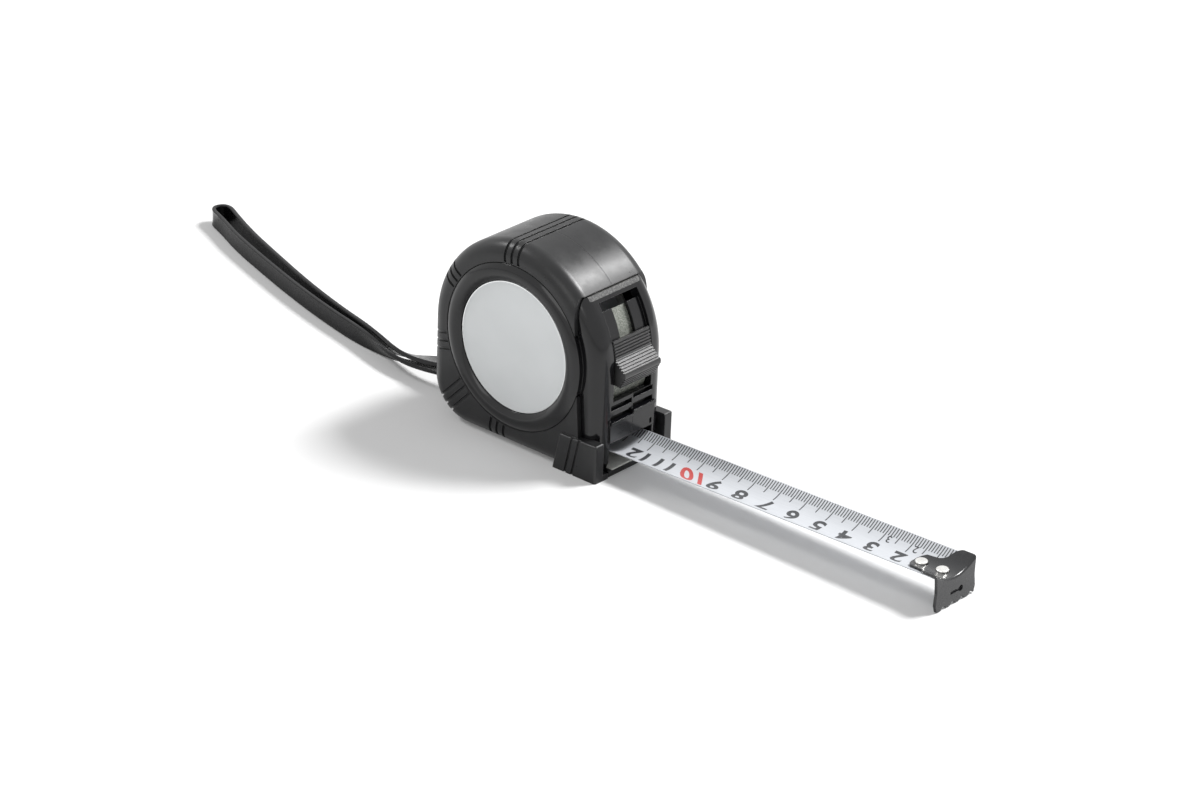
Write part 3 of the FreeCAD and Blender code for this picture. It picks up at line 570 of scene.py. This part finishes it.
def make_ticks():
    fine = tick_row("ticks_fine", arc_angle(6.6 * mm), tick_width, printed_zero - 1 * mm, -1 * mm, 135)
    half = tick_row("ticks_half", arc_angle(4.6 * mm), tick_width, printed_zero - 5 * mm, -10 * mm, 14)
    full = tick_row("ticks_full", arc_angle(3.0 * mm), tick_width, printed_zero - 10 * mm, -10 * mm, 13)
    for piece in (fine, half, full):
        set_on_blade(piece, ink)


def numeral(text, tick, across, height, finish, shift=0.0, weight=0.0, lean=-0.17):
    """A printed number: its middle is at a distance along the blade, with its top towards the
    near edge."""
    bpy.ops.object.select_all(action="DESELECT")
    bpy.ops.object.text_add()
    piece = bpy.context.object
    piece.name = "number_" + text + ("_small" if height < 4 * mm else "")
    words = piece.data
    words.body = text
    words.size = height / 0.7
    words.shear = lean
    words.offset = weight
    words.align_x = "CENTER"
    words.align_y = "CENTER"
    words.resolution_u = 6
    words.fill_mode = "FRONT"
    bpy.ops.object.convert(target="MESH")
    piece = bpy.context.object
    bpy.ops.object.mode_set(mode="EDIT")
    bpy.ops.mesh.select_all(action="SELECT")
    bpy.ops.mesh.remove_doubles(threshold=0.002 * mm)
    for number in range(-digit_slices, digit_slices + 1):
        bpy.ops.mesh.select_all(action="SELECT")
        bpy.ops.mesh.bisect(plane_co=(0, number * digit_slice, 0), plane_no=(0, 1, 0))
    bpy.ops.object.mode_set(mode="OBJECT")
    middle = printed_zero - tick - shift
    for corner in piece.data.vertices:
        along, up, _ = corner.co
        corner.co = section_place(middle - along, arc_angle(across - up), ink_lift)
    wall = piece.modifiers.new("wall", "SOLIDIFY")
    wall.thickness = ink_thickness
    wall.offset = 1.0
    bpy.ops.object.modifier_apply(modifier="wall")
    set_on_blade(piece, finish)
    return piece


def make_numbers():
    for number in range(1, 13):
        finish = red_ink if number == 10 else ink
        height = 7.4 * mm if number == 10 else 6.4 * mm
        numeral(str(number), number * 10 * mm, -0.9 * mm, height, finish, 0.3 * mm,
                0.24 * mm, -0.7 if number == 10 else -0.2)
    for number in (2, 3):
        numeral(str(number), number * 10 * mm, 5.4 * mm, 2.8 * mm, ink, -2.0 * mm, 0.04 * mm)


make_blade()
make_ticks()
make_numbers()


# Floor, world and lamps

floor_size = 6.0
floor_glow = 0.08      # added to the floor where it is seen directly
fill_light = 0.32      # even light from all round

def seen_directly(nodes, links):
    """1 for rays from the view, mirrored rays and rays through glass; 0 for all others."""
    path = nodes.new("ShaderNodeLightPath")
    first = nodes.new("ShaderNodeMath")
    first.operation = "MAXIMUM"
    second = nodes.new("ShaderNodeMath")
    second.operation = "MAXIMUM"
    links.new(path.outputs["Is Camera Ray"], first.inputs[0])
    links.new(path.outputs["Is Glossy Ray"], first.inputs[1])
    links.new(first.outputs[0], second.inputs[0])
    links.new(path.outputs["Is Transmission Ray"], second.inputs[1])
    return second.outputs[0]


def make_floor():
    bpy.ops.object.select_all(action="DESELECT")
    bpy.ops.mesh.primitive_plane_add(size=floor_size, location=(0, 0, 0))
    floor = bpy.context.object
    floor.name = "floor"
    made = bpy.data.materials.new("white_floor")
    made.use_nodes = True
    nodes, links = made.node_tree.nodes, made.node_tree.links
    nodes.clear()
    matt = nodes.new("ShaderNodeBsdfDiffuse")
    matt.inputs["Color"].default_value = (0.8, 0.8, 0.8, 1)
    glow = nodes.new("ShaderNodeEmission")
    glow.inputs["Color"].default_value = (1, 1, 1, 1)
    scale = nodes.new("ShaderNodeMath")
    scale.operation = "MULTIPLY"
    scale.inputs[1].default_value = floor_glow
    both = nodes.new("ShaderNodeAddShader")
    out = nodes.new("ShaderNodeOutputMaterial")
    links.new(seen_directly(nodes, links), scale.inputs[0])
    links.new(scale.outputs[0], glow.inputs["Strength"])
    links.new(matt.outputs[0], both.inputs[0])
    links.new(glow.outputs[0], both.inputs[1])
    links.new(both.outputs[0], out.inputs["Surface"])
    floor.data.materials.append(made)
    floor.select_set(False)


def make_world():
    world = bpy.data.worlds.new("studio")
    bpy.context.scene.world = world
    world.use_nodes = True
    nodes, links = world.node_tree.nodes, world.node_tree.links
    nodes.clear()
    fill = nodes.new("ShaderNodeBackground")
    fill.inputs["Color"].default_value = (1, 1, 1, 1)
    fill.inputs["Strength"].default_value = fill_light
    seen = nodes.new("ShaderNodeBackground")
    seen.inputs["Color"].default_value = (1, 1, 1, 1)
    seen.inputs["Strength"].default_value = 1.0
    mix = nodes.new("ShaderNodeMixShader")
    out = nodes.new("ShaderNodeOutputWorld")
    links.new(seen_directly(nodes, links), mix.inputs[0])
    links.new(fill.outputs[0], mix.inputs[1])
    links.new(seen.outputs[0], mix.inputs[2])
    links.new(mix.outputs[0], out.inputs[0])


def lamp(name, place, target, size, power):
    bpy.ops.object.light_add(type="AREA", location=place)
    light = bpy.context.object
    light.name = name
    light.data.shape = "RECTANGLE"
    light.data.size, light.data.size_y = size
    light.data.energy = power
    light.rotation_mode = "QUATERNION"
    light.rotation_quaternion = (Vector(target) - Vector(place)).to_track_quat("-Z", "Y")
    light.select_set(False)
    return light


make_floor()
make_world()
tape_middle = (0.02, 0, 0.02)
lamp("key_softbox", (0.45, 0.75, 1.1), tape_middle, (0.4, 0.4), 24.0)
lamp("front_softbox", (0.2, -1.2, 0.7), tape_middle, (0.8, 0.5), 2.0)
lamp("side_softbox", (-0.9, -0.35, 0.9), (0.0, 0, 0.04), (0.35, 0.2), 4.5)

bpy.context.scene.view_settings.view_transform = "Standard"
